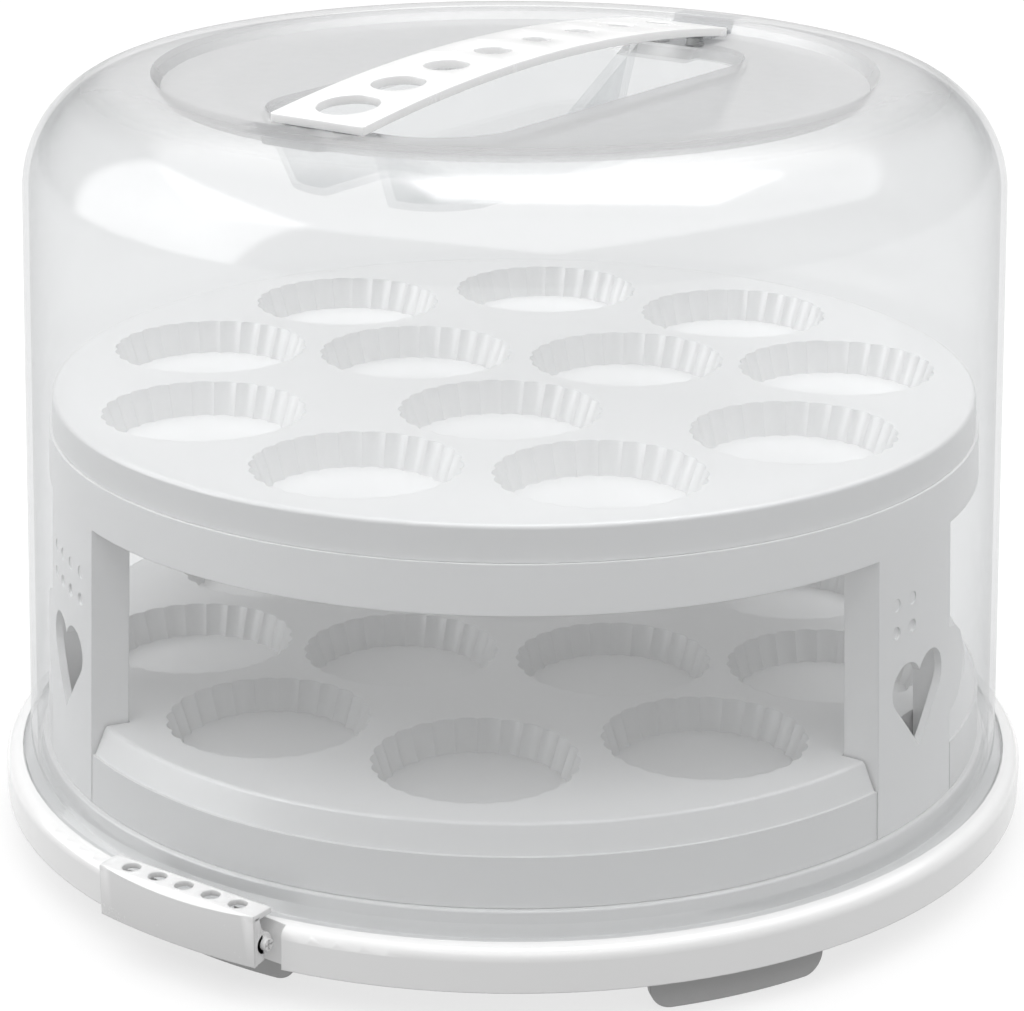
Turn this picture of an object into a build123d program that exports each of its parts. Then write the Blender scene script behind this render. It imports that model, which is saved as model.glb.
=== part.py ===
"""Two-tier cake carrier: base, two muffin trays on a legged stand, clear dome and latches.

Millimetres, +Z up. The origin is on the table under the middle of the base.
The latches lie on the Y axis. Angles are degrees from -Y towards +X.
"""
import os
from math import atan2, cos, pi, radians, sin, sqrt

from build123d import *

# Base
BASE_R = 172.5
APRON_Z = 13.0
RIM_Z = 27.0
RIM_WIDTH = 5.6
RIM_ROUND = 4.0
SEAT_Z = 25.0
PLATE_Z = 33.0
CHANNEL_WIDTH = 7.3
PLATE_SLOPE = 1.4
PLATE_ROUND = 1.0
WALL = 2.5

# Feet
FOOT_COUNT = 6
FOOT_INSET = 9.0
LATCH_FOOT_INSET = 16.2
LATCH_FEET = (0, 3)
FOOT_WALL = 3.0
FOOT_HALF_ANGLE = 10.4
FOOT_ROUND = 7.0
FOOT_TONGUE_INSET = 0.5

# Stack of trays and stand: one cone, flush from foot to band
STACK_INSET = 1.6
STACK_TAPER = 0.0485
STACK_TURN = 29.0
STACK_WALL = 2.5
LEDGE = 0.9
SEAT_GAP = 0.1
FIT_GAP = 0.6

# Trays
LOWER_LEDGE_Z = 49.3
LOWER_TOP_Z = 58.2
LOWER_TOP_INSET = 5.6
BAND_Z = 123.4
BAND_TOP_Z = 138.9
UPPER_TOP_Z = 150.2
UPPER_TOP_INSET = 6.6
TRAY_WALL = 2.2
TRAY_EDGE_ROUND = 1.5
LOCATOR_DEPTH = 6.5
WELL_DEPTH = 10.5
WELL_BRIDGE = 4.4
WELL_TAPER = 3.4
WELL_WALL = 1.8
FLUTES = 26
FLUTE_DEPTH = 1.1
OUTER_WELLS = 9
INNER_WELLS = 3
OUTER_WELL_INSET = 44.8
INNER_WELL_SHARE = 0.383

# Stand legs
LEG_COUNT = 3
LEG_HALF_ANGLE = 8.35
LEG_DEPTH = 12.0
LEG_TOP_MARGIN = 6.0
LOBE_R = 14.0
LOBE_Z = 74.5
HEART_WIDTH = 31.0
HEART_HEIGHT = 29.5
HEART_LOBE = 0.265
HEART_Z = 57.0
DIMPLE_R = 2.0
DIMPLE_DEPTH = 0.7
DIMPLE_STEP = 9.0
DIMPLE_COLUMNS = 4
DIMPLE_Z = 98.0

# Dome
DOME_WALL = 2.0
DOME_FOOT_INSET = 2.8
DOME_DRAFT = 6.5
DOME_TOP_Z = 252.3
SHOULDER_RADIAL = 35.6
SHOULDER_VERTICAL = 36.0
FLANGE_GAP = 0.4
FLANGE_Z = 27.8
COLLAR_Z = 32.2
COLLAR_HOLLOW = 0.6
COLLAR_SEAT = 1.0
DISC_INSET = 41.6
DISC_DROP = 4.5
DISC_SLOPE = 3.0
RECESS_INSET = 25.5
RECESS_WIDTH = 87.0
RECESS_CORNER = 28.0
RECESS_DEPTH = 22.0
RECESS_TAPER = 22.0
RAMP_WIDTH = 28.0
RAMP_LENGTH = 42.0
RAMP_WALL = 3.0
TONGUE_WIDTH = 24.0
TONGUE_REACH = 24.0
TONGUE_RISE = 1.2
TONGUE_ROUND = 4.0

# Handle
HANDLE_REACH = 10.8
HANDLE_WIDTH = 35.2
HANDLE_THICK = 3.0
HANDLE_RISE = 7.4
HANDLE_CHAMFER = 0.6
HANDLE_GAP = 0.05
HANDLE_HOLES = 8
HANDLE_END_LAND = 15.2
HANDLE_HOLE_BIG = 19.4
HANDLE_HOLE_SMALL = 9.6
HANDLE_HOLE_SHRINK = 2.5
PEG_R = 2.5
PEG_STEP = 14.0
PEG_INSET = 3.6
PEG_HEAD = 1.0
PEG_FIT = 0.08

# Latches
LATCH_HALF = 30.4
LATCH_INNER_GAP = 0.4
LATCH_TOP_Z = 31.6
LATCH_BOTTOM_Z = 14.7
LATCH_PLATE = 2.0
LATCH_PROUD = 2.7
LATCH_BOW = 2.2
LATCH_WALL = 1.8
LATCH_CHEEK = 2.4
LATCH_CHAMFER = 1.4
CHEEK_TANGENT = 60.0
LATCH_HOLES = 5
LATCH_HOLE_STEP = 10.5
LATCH_HOLE_R = 2.9
NOTCH_HALF = 35.2
NOTCH_INSET = 0.7
PIN_INSET = 2.0
PIN_Z = 21.0
PIN_R = 2.0
PIN_OVERHANG = 1.8
PIN_CORE = 0.7
PIN_FIXED_FIT = 0.02
PIN_RUNNING_FIT = 0.08
PIN_EYE_WALL = 1.7
LUG_X = 20.0
LUG_WIDTH = 4.0
LUG_WALL = 1.1

# Worked out from the driving sizes
MARGIN = 5.0
QUARTER_TURN = 90
RIM_LAND_R = BASE_R - RIM_WIDTH
PLATE_R = RIM_LAND_R - CHANNEL_WIDTH
FOOT_R = BASE_R - FOOT_INSET
LATCH_FOOT_R = BASE_R - LATCH_FOOT_INSET
STACK_FOOT_R = PLATE_R - STACK_INSET
LOWER_TOP_R = STACK_FOOT_R - LOWER_TOP_INSET
UPPER_TOP_R = STACK_FOOT_R - UPPER_TOP_INSET
OUTER_WELL_RING = LOWER_TOP_R - OUTER_WELL_INSET
INNER_WELL_RING = OUTER_WELL_RING * INNER_WELL_SHARE
WELL_R = OUTER_WELL_RING * sin(pi / OUTER_WELLS) - WELL_BRIDGE
WELL_FLOOR_R = WELL_R - WELL_TAPER
DOME_FOOT_R = RIM_LAND_R - DOME_FOOT_INSET
DOME_NECK_R = DOME_FOOT_R - DOME_DRAFT
DISC_R = DOME_NECK_R - DISC_INSET
RECESS_LENGTH = 2 * (DISC_R - RECESS_INSET)
TONGUE_END = RECESS_LENGTH / 2 + TONGUE_REACH
HANDLE_HALF = RECESS_LENGTH / 2 + HANDLE_REACH
HANDLE_HOLE_STEP = 2 * (HANDLE_HALF - HANDLE_END_LAND) / (HANDLE_HOLES - 1)
LATCH_END_Y = BASE_R + LATCH_PROUD
NOTCH_BACK = RIM_LAND_R - NOTCH_INSET
PIN_Y = BASE_R - PIN_INSET
FLANGE_R = RIM_LAND_R - FLANGE_GAP
LATCH_INNER_Y = FLANGE_R + LATCH_INNER_GAP
UNDERSIDE_Z = SEAT_Z - WALL
PLATE_UNDER_Z = PLATE_Z - WALL
DISC_Z = DOME_TOP_Z - DISC_DROP
EYE_R = PIN_R + PIN_EYE_WALL


def stack_radius(z):
    """Outer radius of the tray and stand stack at height z."""
    return STACK_FOOT_R - (z - PLATE_Z) * STACK_TAPER


def turned(shape, angle):
    """The shape, built on the -Y side, turned to an azimuth about Z."""
    return Rot(0, 0, angle) * shape


def leg_half_width(z):
    """Half the width of a leg, straight across, at height z."""
    return stack_radius(z) * sin(radians(LEG_HALF_ANGLE))


def revolved(points, rounds=()):
    """Full revolution of an (r, z) outline, with (index, radius) rounded corners."""
    face = make_face(Polyline(*points, close=True))
    for index, radius in rounds:
        near = Vector(*points[index])
        corner = min(face.vertices(), key=lambda v: (Vector(v.X, v.Y) - near).length)
        face = fillet(corner, radius)
    return revolve(Plane.XZ * face, Axis.Z, 360)


def front_box(x_half, y_from, y_to, z_from, z_to):
    """Box on the -Y side between two distances from the middle."""
    size = (2 * x_half, y_to - y_from, z_to - z_from)
    return Pos(0, -(y_from + y_to) / 2, (z_from + z_to) / 2) * Box(*size)


def sector(half_angle, r_from, r_to, z_from, z_to):
    """Curved bar about Z on the -Y side."""
    reach = 2 * r_to
    side = reach * sin(radians(half_angle))
    wedge = make_face(Polyline((0, 0), (side, -reach * cos(radians(half_angle))),
                               (-side, -reach * cos(radians(half_angle))), close=True))
    ring = Circle(r_to) - Circle(r_from)
    return Pos(0, 0, z_from) * extrude(wedge & ring, z_to - z_from)


def make_base():
    """Base plate: cake floor, dome channel, rim, apron and latch pockets."""
    inner_foot = PLATE_R + PLATE_SLOPE
    points = [
        (0, PLATE_Z),
        (PLATE_R, PLATE_Z),
        (inner_foot, SEAT_Z),
        (RIM_LAND_R, SEAT_Z),
        (RIM_LAND_R, RIM_Z),
        (BASE_R, RIM_Z),
        (BASE_R, APRON_Z),
        (BASE_R - WALL, APRON_Z),
        (BASE_R - WALL, UNDERSIDE_Z),
        (inner_foot - WALL, UNDERSIDE_Z),
        (PLATE_R - WALL, PLATE_UNDER_Z),
        (0, PLATE_UNDER_Z),
    ]
    base = revolved(points, [(5, RIM_ROUND), (1, PLATE_ROUND)])
    for angle in (0, 180):
        base = base + turned(latch_pocket() & revolved_envelope(), angle)
        base = base - turned(latch_clearance(), angle)
        base = base + turned(latch_lugs(), angle)
    for index in range(FOOT_COUNT):
        base = base - turned(foot_tongue(*foot_sizes(index)), index * 360 / FOOT_COUNT)
    return base


def revolved_envelope():
    """Everything inside the apron's outer face, up to the rim."""
    return Pos(0, 0, APRON_Z) * extrude(Circle(BASE_R), RIM_Z - APRON_Z - RIM_ROUND)


def latch_pocket():
    """Back and side walls that close the latch notch inside the apron."""
    outer = front_box(NOTCH_HALF + WALL, NOTCH_BACK - WALL, BASE_R, APRON_Z, SEAT_Z)
    return outer - front_box(NOTCH_HALF, NOTCH_BACK, BASE_R + MARGIN, 0, RIM_Z)


def latch_clearance():
    """Notch through the rim and apron for one latch."""
    return front_box(NOTCH_HALF, NOTCH_BACK, BASE_R + MARGIN, 0, RIM_Z + MARGIN)


def latch_lugs():
    """Two bored lugs on the pocket's back wall that hold the pin."""
    radius = PIN_R + LUG_WALL
    start = NOTCH_BACK - WALL / 2
    profile = Pos(PIN_Y, PIN_Z) * Circle(radius)
    arm = Pos((start + PIN_Y) / 2, PIN_Z) * Rectangle(PIN_Y - start, 2 * radius)
    bore = Pos(PIN_Y, PIN_Z) * Circle(PIN_R + PIN_FIXED_FIT)
    section = profile + arm - bore
    lugs = [side_plate(section, sign * LUG_X, LUG_WIDTH) for sign in (-1, 1)]
    return lugs[0] + lugs[1]


def side_plate(section, x, width):
    """A section drawn in (distance from middle, height), as a plate centred on x."""
    plane = Plane(origin=(x - width / 2, 0, 0), x_dir=(0, -1, 0), z_dir=(-1, 0, 0))
    return extrude(plane * section, -width)


def foot_sizes(index):
    """Outer radius and top of a foot: those under the latches stand further in, clear of them."""
    if index in LATCH_FEET:
        return LATCH_FOOT_R, PLATE_UNDER_Z
    return FOOT_R, UNDERSIDE_Z


def foot_tongue(foot_r, top_z):
    """Top edge of a foot that plugs into the base."""
    inner_r = foot_r - FOOT_WALL + FOOT_TONGUE_INSET
    outer_r = foot_r - FOOT_TONGUE_INSET
    return sector(FOOT_HALF_ANGLE / 2, inner_r, outer_r, top_z, top_z + WALL / 2)


def make_foot(foot_r, top_z):
    """Curved foot panel with rounded lower corners and its tongue."""
    panel = sector(FOOT_HALF_ANGLE, foot_r - FOOT_WALL, foot_r, 0, top_z)
    corners = panel.edges().filter_by(GeomType.LINE).group_by(Axis.Z)[0]
    return fillet(corners, FOOT_ROUND) + foot_tongue(foot_r, top_z)


def front_prism(sketch):
    """A sketch in (x, z), run out towards -Y past everything."""
    return extrude(Plane.XZ * sketch, BASE_R + MARGIN)


def cone_band(inset_from, inset_to, z_from, z_to):
    """Band of the stack's cone between two insets from its outer face."""
    rise = z_to - z_from
    low, high = stack_radius(z_from), stack_radius(z_to)
    outer = Cone(low - inset_from, high - inset_from, rise)
    inner = Cone(low - inset_to, high - inset_to, rise)
    return Pos(0, 0, (z_from + z_to) / 2) * (outer - inner)


def flute_outline(radius):
    """Scalloped well outline: arcs that bulge outward between cusps."""
    step = 2 * pi / FLUTES
    cusp = radius - FLUTE_DEPTH
    arcs = []
    for index in range(FLUTES):
        start, middle, end = (step * (index + part) for part in (0, 0.5, 1))
        arcs.append(ThreePointArc(
            (cusp * cos(start), cusp * sin(start)),
            (radius * cos(middle), radius * sin(middle)),
            (cusp * cos(end), cusp * sin(end)),
        ))
    return make_face(Curve() + arcs)


def well_places(turn):
    """Well centres of one tray: an outer ring and an inner ring between two of its wells."""
    rings = (
        (OUTER_WELLS, OUTER_WELL_RING, turn),
        (INNER_WELLS, INNER_WELL_RING, turn + 180 / INNER_WELLS),
    )
    places = []
    for count, ring, first in rings:
        for index in range(count):
            angle = radians(first + index * 360 / count)
            places.append(Pos(ring * sin(angle), -ring * cos(angle), 0))
    return places


def add_wells(tray, top_z, turn):
    """Cups under the tray's top and their fluted cavities."""
    floor_z = top_z - WELL_DEPTH
    cup_height = WELL_DEPTH + WELL_WALL - TRAY_WALL / 2
    cup = Cone(WELL_FLOOR_R + WELL_WALL, WELL_R + WELL_WALL, cup_height)
    cup = Pos(0, 0, floor_z - WELL_WALL + cup_height / 2) * cup
    rim = Pos(0, 0, top_z) * flute_outline(WELL_R)
    floor = Pos(0, 0, floor_z) * flute_outline(WELL_FLOOR_R)
    cavity = loft([rim, floor], ruled=True)
    places = well_places(turn)
    tray = tray + [place * cup for place in places]
    return tray - [place * cavity for place in places]


def make_lower_tray():
    """Lower tray: top, fascia, skirt, wells and the walled notches for the legs."""
    bottom_z = PLATE_Z + SEAT_GAP
    ledge_r = stack_radius(LOWER_LEDGE_Z)
    foot_r = stack_radius(bottom_z)
    tray = revolved([
        (0, LOWER_TOP_Z),
        (LOWER_TOP_R, LOWER_TOP_Z),
        (ledge_r - LEDGE, LOWER_LEDGE_Z),
        (ledge_r, LOWER_LEDGE_Z),
        (foot_r, bottom_z),
        (foot_r - TRAY_WALL, bottom_z),
        (ledge_r - LEDGE - TRAY_WALL, LOWER_LEDGE_Z),
        (LOWER_TOP_R - TRAY_WALL, LOWER_TOP_Z - TRAY_WALL),
        (0, LOWER_TOP_Z - TRAY_WALL),
    ], [(1, TRAY_EDGE_ROUND)])
    half = leg_half_width(bottom_z) + FIT_GAP
    back_y = (stack_radius(LOWER_TOP_Z) - LEG_DEPTH) * cos(radians(LEG_HALF_ANGLE)) - FIT_GAP
    envelope = Cylinder(LOWER_TOP_R - TRAY_EDGE_ROUND, 2 * LOWER_TOP_Z)
    wall_top_z = LOWER_TOP_Z - TRAY_WALL / 2
    wall = front_box(half + TRAY_WALL, back_y - TRAY_WALL, BASE_R, bottom_z, wall_top_z) & envelope
    for angle in leg_angles():
        tray = tray + turned(wall, angle)
    tray = add_wells(tray, LOWER_TOP_Z, STACK_TURN)
    notch = front_box(half, back_y, BASE_R, 0, LOWER_TOP_Z + MARGIN)
    for angle in leg_angles():
        tray = tray - turned(notch, angle)
    return tray


def make_upper_tray():
    """Upper tray: top, fascia, wells and a locating skirt inside the band."""
    bottom_z = BAND_TOP_Z + SEAT_GAP
    fascia_r = stack_radius(BAND_TOP_Z) - LEDGE
    locator_r = stack_radius(BAND_TOP_Z) - STACK_WALL - FIT_GAP
    locator_z = bottom_z - LOCATOR_DEPTH
    tray = revolved([
        (0, UPPER_TOP_Z),
        (UPPER_TOP_R, UPPER_TOP_Z),
        (fascia_r, bottom_z),
        (locator_r, bottom_z),
        (locator_r, locator_z),
        (locator_r - TRAY_WALL, locator_z),
        (locator_r - TRAY_WALL, UPPER_TOP_Z - TRAY_WALL),
        (0, UPPER_TOP_Z - TRAY_WALL),
    ], [(1, TRAY_EDGE_ROUND)])
    return add_wells(tray, UPPER_TOP_Z, STACK_TURN + 180 / LEG_COUNT)


def leg_angles():
    """Azimuths of the stand's legs, the first and last beside the front opening."""
    return [STACK_TURN + (index + 0.5) * 360 / LEG_COUNT for index in range(LEG_COUNT)]


def heart():
    """Heart outline with its tip at the origin, point down."""
    lobe = HEART_WIDTH * HEART_LOBE
    side = HEART_WIDTH / 2 - lobe
    rise = HEART_HEIGHT - lobe
    reach = sqrt(side**2 + rise**2)
    lean = atan2(side, rise) + atan2(lobe, sqrt(reach**2 - lobe**2))
    touch = sqrt(reach**2 - lobe**2)
    corner = (touch * sin(lean), touch * cos(lean))
    notch = (0, rise + sqrt(lobe**2 - side**2))
    edge = (HEART_WIDTH / 2, rise)
    crown = (side, HEART_HEIGHT)
    right = [
        Line((0, 0), corner),
        ThreePointArc(corner, point_on(lobe, (side, rise), corner, edge), edge),
        ThreePointArc(edge, point_on(lobe, (side, rise), edge, crown), crown),
        ThreePointArc(crown, point_on(lobe, (side, rise), crown, notch), notch),
    ]
    left = [mirror(edge_line, about=Plane.YZ) for edge_line in right]
    return make_face(Curve() + right + left)


def point_on(radius, centre, first, last):
    """Point of a circle halfway between two of its points."""
    middle = Vector((first[0] + last[0]) / 2 - centre[0], (first[1] + last[1]) / 2 - centre[1])
    middle = middle.normalized() * radius
    return (centre[0] + middle.X, centre[1] + middle.Y)


def make_leg(lobe_side):
    """One U-section leg on the -Y side: face, two flanges, heart and dimples."""
    foot_z = PLATE_Z + SEAT_GAP
    low = leg_half_width(foot_z)
    high = leg_half_width(BAND_TOP_Z)
    corners = [(-low, foot_z), (low, foot_z), (high, BAND_TOP_Z), (-high, BAND_TOP_Z)]
    outline = make_face(Polyline(*corners, close=True))
    core = [(x - STACK_WALL * (1 if x > 0 else -1), z) for x, z in corners]
    strips = outline - make_face(Polyline(*core, close=True))
    face = outline
    if lobe_side:
        face = face + Pos(lobe_side * (low + high) / 2, LOBE_Z) * Circle(LOBE_R)
    face = face - Pos(0, HEART_Z) * heart()
    leg = front_prism(face) & cone_band(0, STACK_WALL, foot_z, BAND_TOP_Z)
    flange_top = BAND_Z + LEG_TOP_MARGIN
    flanges = front_prism(strips) & cone_band(0, LEG_DEPTH, foot_z, flange_top)
    return leg + flanges - leg_dimples()


def leg_dimples():
    """Plain round dimples above the heart, in a two-row grid."""
    depth = stack_radius(DIMPLE_Z) - DIMPLE_DEPTH
    dimples = []
    for row in (0, 1):
        for column in range(DIMPLE_COLUMNS):
            x = (column - (DIMPLE_COLUMNS - 1) / 2) * DIMPLE_STEP
            z = DIMPLE_Z + row * DIMPLE_STEP
            hole = extrude(Plane.XZ * Pos(x, z) * Circle(DIMPLE_R), BASE_R)
            dimples.append(hole - Cylinder(depth, 2 * DOME_TOP_Z))
    return Part() + dimples


def make_stand():
    """Band that carries the upper tray, with its three legs."""
    stand = cone_band(0, STACK_WALL, BAND_Z, BAND_TOP_Z)
    lobe_sides = [1, 0, -1]
    for angle, side in zip(leg_angles(), lobe_sides):
        stand = stand + turned(make_leg(side), angle)
    return stand


def dome_profile(inset):
    """Closed half outline of the dome's outer face, or of its inner face when inset."""
    neck_z = DOME_TOP_Z - SHOULDER_VERTICAL
    foot_z = SEAT_Z + SEAT_GAP - inset
    crown_r = DOME_NECK_R - SHOULDER_RADIAL
    neck_r = DOME_NECK_R - inset
    foot_r = DOME_FOOT_R - inset
    top_z = DOME_TOP_Z - inset
    slide = inset * DISC_SLOPE / DISC_DROP / 2
    radii = (SHOULDER_RADIAL - inset, SHOULDER_VERTICAL - inset)
    edges = [
        Line((0, foot_z), (foot_r, foot_z)),
        Line((foot_r, foot_z), (neck_r, neck_z)),
        EllipticalCenterArc((crown_r, neck_z), *radii, 0, arc_size=QUARTER_TURN),
        Line((crown_r, top_z), (DISC_R - slide, top_z)),
        Line((DISC_R - slide, top_z), (DISC_R - DISC_SLOPE - slide, DISC_Z - inset)),
        Line((DISC_R - DISC_SLOPE - slide, DISC_Z - inset), (0, DISC_Z - inset)),
        Line((0, DISC_Z - inset), (0, foot_z)),
    ]
    return make_face(Curve() + edges)


def dome_foot():
    """Flared foot ring that sits in the base's channel."""
    foot_z = SEAT_Z + SEAT_GAP
    inner = DOME_FOOT_R - DOME_WALL
    seat = inner + COLLAR_SEAT
    hollow = (DOME_FOOT_R + COLLAR_HOLLOW, (FLANGE_Z + COLLAR_Z) / 2)
    outline = [
        Line((inner, foot_z), (FLANGE_R, foot_z)),
        Line((FLANGE_R, foot_z), (FLANGE_R, FLANGE_Z)),
        ThreePointArc((FLANGE_R, FLANGE_Z), hollow, (seat, COLLAR_Z)),
        Line((seat, COLLAR_Z), (seat, foot_z + COLLAR_SEAT)),
        Line((seat, foot_z + COLLAR_SEAT), (inner, foot_z)),
    ]
    return revolve(Plane.XZ * make_face(Curve() + outline), Axis.Z, 360)


def recess(grow):
    """Tapered finger recess, or the block that its walls are cut from."""
    outline = RectangleRounded(RECESS_WIDTH + 2 * grow, RECESS_LENGTH + 2 * grow, RECESS_CORNER + grow)
    return extrude(Pos(0, 0, DISC_Z) * outline, -(RECESS_DEPTH + grow), taper=RECESS_TAPER)


def recess_ramp(drop, half_width):
    """Wedge under one end of the handle, from the disc down to the recess floor."""
    end = RECESS_LENGTH / 2
    start = end - RAMP_LENGTH
    floor = DISC_Z - RECESS_DEPTH
    outline = make_face(Polyline(
        (start, floor - drop),
        (end, DISC_Z - drop),
        (end + MARGIN, DISC_Z - drop),
        (end + MARGIN, floor - MARGIN),
        (start, floor - MARGIN),
        close=True,
    ))
    return side_plate(outline, 0, 2 * half_width)


def make_dome():
    """Clear dome: wall, foot ring, sunk disc, finger recess with ramps, tongues."""
    dome = revolve(Plane.XZ * dome_profile(0), Axis.Z, 360)
    dome = dome - revolve(Plane.XZ * dome_profile(DOME_WALL), Axis.Z, 360)
    dome = dome + dome_foot()
    dome = dome + recess(DOME_WALL)
    cavity = recess(0)
    for angle in (0, 180):
        cavity = cavity - turned(recess_ramp(0, RAMP_WIDTH / 2), angle)
    dome = dome - cavity
    for angle in (0, 180):
        hollow = recess_ramp(RAMP_WALL, RAMP_WIDTH / 2 - DOME_WALL)
        dome = dome - turned(hollow, angle)
        dome = dome + turned(tongue(), angle)
        dome = dome - turned(peg_holes(), angle)
    return dome


def tongue():
    """Raised tongue that the handle's end sits on."""
    start = RECESS_LENGTH / 2 - DOME_WALL
    length = TONGUE_END - start
    outline = Pos(0, -(start + TONGUE_END) / 2) * RectangleRounded(TONGUE_WIDTH, length, TONGUE_ROUND)
    return Pos(0, 0, DISC_Z - DOME_WALL) * extrude(outline, DOME_WALL + TONGUE_RISE)


def peg_places():
    """Peg centres under one end of the handle."""
    return [Pos(side * PEG_STEP / 2, PEG_INSET - HANDLE_HALF, 0) for side in (-1, 1)]


def peg_holes():
    """Holes through a tongue for the handle's pegs."""
    top_z = DISC_Z + TONGUE_RISE
    hole = Pos(0, 0, top_z) * Cylinder(PEG_R + PEG_FIT, 4 * DOME_WALL)
    return Part() + [place * hole for place in peg_places()]


def make_handle():
    """Arched strap with graded holes and snap pegs."""
    seat_z = DISC_Z + TONGUE_RISE + HANDLE_GAP
    end_z = seat_z + HANDLE_THICK
    outline = make_face(Curve() + [
        ThreePointArc((-HANDLE_HALF, end_z), (0, end_z + HANDLE_RISE), (HANDLE_HALF, end_z)),
        Line((HANDLE_HALF, end_z), (HANDLE_HALF, seat_z)),
        ThreePointArc((HANDLE_HALF, seat_z), (0, seat_z + HANDLE_RISE), (-HANDLE_HALF, seat_z)),
        Line((-HANDLE_HALF, seat_z), (-HANDLE_HALF, end_z)),
    ])
    strap = side_plate(outline, 0, HANDLE_WIDTH)
    strap = chamfer(strap.edges().filter_by(GeomType.CIRCLE), HANDLE_CHAMFER)
    top_z = end_z + HANDLE_RISE
    for index in range(HANDLE_HOLES):
        y = (index - (HANDLE_HOLES - 1) / 2) * HANDLE_HOLE_STEP
        width = max(HANDLE_HOLE_SMALL, HANDLE_HOLE_BIG - index * HANDLE_HOLE_SHRINK)
        strap = strap - Pos(0, y, top_z) * Cylinder(width / 2, 4 * (HANDLE_RISE + HANDLE_THICK))
    for angle in (0, 180):
        for place in peg_places():
            strap = strap + turned(place * make_peg(seat_z), angle)
    return strap


def make_peg(seat_z):
    """Snap peg: shank through the tongue and a wider head under it."""
    under_z = DISC_Z - DOME_WALL - HANDLE_GAP
    shank_top = seat_z + HANDLE_THICK / 2
    shank_bottom = under_z - PEG_HEAD
    shank = Pos(0, 0, (shank_top + shank_bottom) / 2) * Cylinder(PEG_R, shank_top - shank_bottom)
    head = Pos(0, 0, under_z - PEG_HEAD) * Cone(PEG_R, PEG_R + PEG_HEAD, 2 * PEG_HEAD)
    return shank + head


def latch_plan(half, inner_y, inset):
    """Plan of a latch: straight back and sides, bowed front."""
    end_y = LATCH_END_Y - inset
    middle_y = LATCH_END_Y + LATCH_BOW - inset
    return make_face(Curve() + [
        Line((-half, -inner_y), (half, -inner_y)),
        Line((half, -inner_y), (half, -end_y)),
        ThreePointArc((half, -end_y), (0, -middle_y), (-half, -end_y)),
        Line((-half, -end_y), (-half, -inner_y)),
    ])


def cheek_section():
    """Side of a latch in (distance from middle, height), with the pin's eye."""
    tangent = radians(CHEEK_TANGENT)
    eye = Pos(PIN_Y, PIN_Z) * Circle(EYE_R)
    side = make_face(Polyline(
        (LATCH_INNER_Y, LATCH_TOP_Z - LATCH_CHAMFER),
        (LATCH_END_Y - LATCH_WALL / 2, LATCH_TOP_Z - LATCH_CHAMFER),
        (LATCH_END_Y - LATCH_WALL / 2, LATCH_BOTTOM_Z),
        (LATCH_END_Y - LATCH_WALL, LATCH_BOTTOM_Z),
        (PIN_Y + EYE_R * cos(tangent), PIN_Z - EYE_R * sin(tangent)),
        (PIN_Y - EYE_R, PIN_Z),
        (LATCH_INNER_Y, PIN_Z),
        close=True,
    ))
    return side + eye - Pos(PIN_Y, PIN_Z) * Circle(PIN_R + PIN_RUNNING_FIT)


def make_latch():
    """Latch on the -Y side: holed top plate, bowed front and two eyed cheeks."""
    height = LATCH_TOP_Z - LATCH_BOTTOM_Z
    block = Pos(0, 0, LATCH_BOTTOM_Z) * extrude(latch_plan(LATCH_HALF, LATCH_INNER_Y, 0), height)
    bow = block.edges().filter_by(GeomType.CIRCLE).sort_by(Axis.Z)[-1]
    block = chamfer(bow, LATCH_CHAMFER)
    hollow_half = LATCH_HALF - LATCH_CHEEK
    hollow_z = LATCH_TOP_Z - LATCH_PLATE
    hollow_plan = latch_plan(LATCH_HALF + MARGIN, LATCH_INNER_Y - MARGIN, LATCH_WALL)
    block = block - extrude(hollow_plan, hollow_z)
    x = (LATCH_HALF + hollow_half) / 2
    for sign in (-1, 1):
        block = block + side_plate(cheek_section(), sign * x, LATCH_CHEEK)
    for index in range(LATCH_HOLES):
        hole_x = (index - (LATCH_HOLES - 1) / 2) * LATCH_HOLE_STEP
        hole_y = (LATCH_INNER_Y + LATCH_END_Y) / 2
        block = block - Pos(hole_x, -hole_y, LATCH_TOP_Z) * Cylinder(LATCH_HOLE_R, 4 * LATCH_PLATE)
    return block


def make_pin():
    """Hinge pin with a cross-cored recess in each end."""
    half = LATCH_HALF + PIN_OVERHANG
    pin = Pos(0, -PIN_Y, PIN_Z) * Rot(0, 90, 0) * Cylinder(PIN_R, 2 * half)
    for sign in (-1, 1):
        for width, height in ((PIN_CORE, 2 * PIN_R - PIN_CORE), (2 * PIN_R - PIN_CORE, PIN_CORE)):
            pin = pin - Pos(sign * half, -PIN_Y, PIN_Z) * Box(2 * PIN_CORE, width, height)
    return pin


def build():
    """Every node of the carrier, by name."""
    nodes = {
        "base_tray": make_base(),
        "lower_tray": make_lower_tray(),
        "leg_stand": make_stand(),
        "upper_tray": make_upper_tray(),
        "dome_lid": make_dome(),
        "carry_handle": make_handle(),
    }
    for index in range(FOOT_COUNT):
        foot = make_foot(*foot_sizes(index))
        nodes[f"foot_{index + 1}"] = turned(foot, index * 360 / FOOT_COUNT)
    for name, angle in (("front", 0), ("back", 180)):
        nodes[f"latch_{name}"] = turned(make_latch(), angle)
        nodes[f"latch_pin_{name}"] = turned(make_pin(), angle)
    return nodes


os.makedirs("parts", exist_ok=True)
for name, shape in build().items():
    export_step(shape, f"parts/{name}.step")
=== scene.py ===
"""Dressed model of a two-tier cake carrier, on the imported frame. Metres, +Z up."""
import logging
import math
from dataclasses import dataclass
from enum import Enum, Flag, auto
from typing import Any

import bmesh
import bpy
from mathutils import Matrix, Quaternion, Vector


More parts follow.
